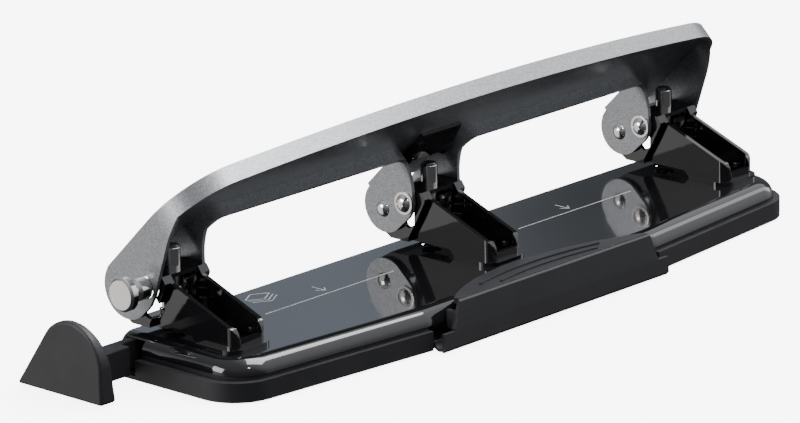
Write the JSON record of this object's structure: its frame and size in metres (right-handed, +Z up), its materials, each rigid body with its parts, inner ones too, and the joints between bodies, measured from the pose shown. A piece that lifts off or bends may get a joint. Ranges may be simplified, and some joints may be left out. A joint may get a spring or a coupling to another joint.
{
  "type": "hole punch",
  "caption": "Desktop paper punch in a row-of-holes layout with a long sloped lever handle, steel punch brackets, swing-down chip door, sliding paper guide and push lock.",
  "frame": {"origin": "table level directly under the middle punch pin, on the bottom of the middle rubber pad", "axes": "+X along the punch away from the paper guide, +Y towards the edge where the paper goes in, +Z up"},
  "size_m": [0.2707, 0.0754, 0.0666],
  "materials": {
    "black_steel": "gloss black enamel",
    "charcoal_plastic": "fine moulded texture",
    "silver_paint": "silver-grey metallic paint",
    "polished_steel": "bright plated",
    "bright_steel": "plain zinc plated",
    "tool_steel": "ground tool steel",
    "spring_steel": "drawn spring wire and strip",
    "black_rubber": "matte"
  },
  "bodies": {
    "base": {"base_plate": "black_steel", "base_pan": "charcoal_plastic", "punch_dies": "tool_steel", "door_hinge_pins": "bright_steel", "bracket_left": "black_steel", "bracket_centre": "black_steel", "bracket_right": "black_steel", "foot_rivets": "black_steel", "pan_screws": "bright_steel", "rubber_feet": "black_rubber", "spring_left": "spring_steel", "spring_centre": "spring_steel", "spring_right": "spring_steel"},
    "handle": {"handle_cover": "silver_paint", "leg_stiffener": "black_steel", "pivot_rivets": "polished_steel", "drive_rivets": "polished_steel", "drive_washers": "polished_steel"},
    "pin_left": {"punch_pin_left": "polished_steel", "pin_clip_left": "spring_steel"},
    "pin_centre": {"punch_pin_centre": "polished_steel", "pin_clip_centre": "spring_steel"},
    "pin_right": {"punch_pin_right": "polished_steel", "pin_clip_right": "spring_steel"},
    "lock": {"lock_knob": "polished_steel"},
    "door": {"chip_door": "charcoal_plastic"},
    "guide": {"guide_rail": "charcoal_plastic", "guide_end_plate": "charcoal_plastic"}
  },
  "joints": [
    {"name": "handle_press", "type": "hinge", "parent": "base", "child": "handle", "pos_m": [0, 0.0092, 0.0232], "axis": [1, 0, 0], "range_deg": [0, 37], "stiffness_Nm_per_rad": 0.12, "springref_deg": -34.38},
    {"name": "pin_left_stroke", "type": "slide", "parent": "base", "child": "pin_left", "axis": [0, 0, 1], "range_m": [-0.00597, 0], "deforming": ["spring_left"]},
    {"name": "pin_centre_stroke", "type": "slide", "parent": "base", "child": "pin_centre", "axis": [0, 0, 1], "range_m": [-0.00597, 0], "deforming": ["spring_centre"]},
    {"name": "pin_right_stroke", "type": "slide", "parent": "base", "child": "pin_right", "axis": [0, 0, 1], "range_m": [-0.00597, 0], "deforming": ["spring_right"]},
    {"name": "lock_push", "type": "slide", "parent": "handle", "child": "lock", "axis": [1, 0, 0], "range_m": [0, 0.0032]},
    {"name": "door_swing", "type": "hinge", "parent": "base", "child": "door", "pos_m": [0, -0.0486, 0.0029], "axis": [1, 0, 0], "range_deg": [0, 78]},
    {"name": "guide_slide", "type": "slide", "parent": "base", "child": "guide", "axis": [-1, 0, 0], "range_m": [-0.01, 0.04]}
  ],
  "couplings": [
    {"joint": "pin_left_stroke", "follows": "handle_press", "m_per_rad": -0.009229},
    {"joint": "pin_centre_stroke", "follows": "handle_press", "m_per_rad": -0.009229},
    {"joint": "pin_right_stroke", "follows": "handle_press", "m_per_rad": -0.009229}
  ]
}
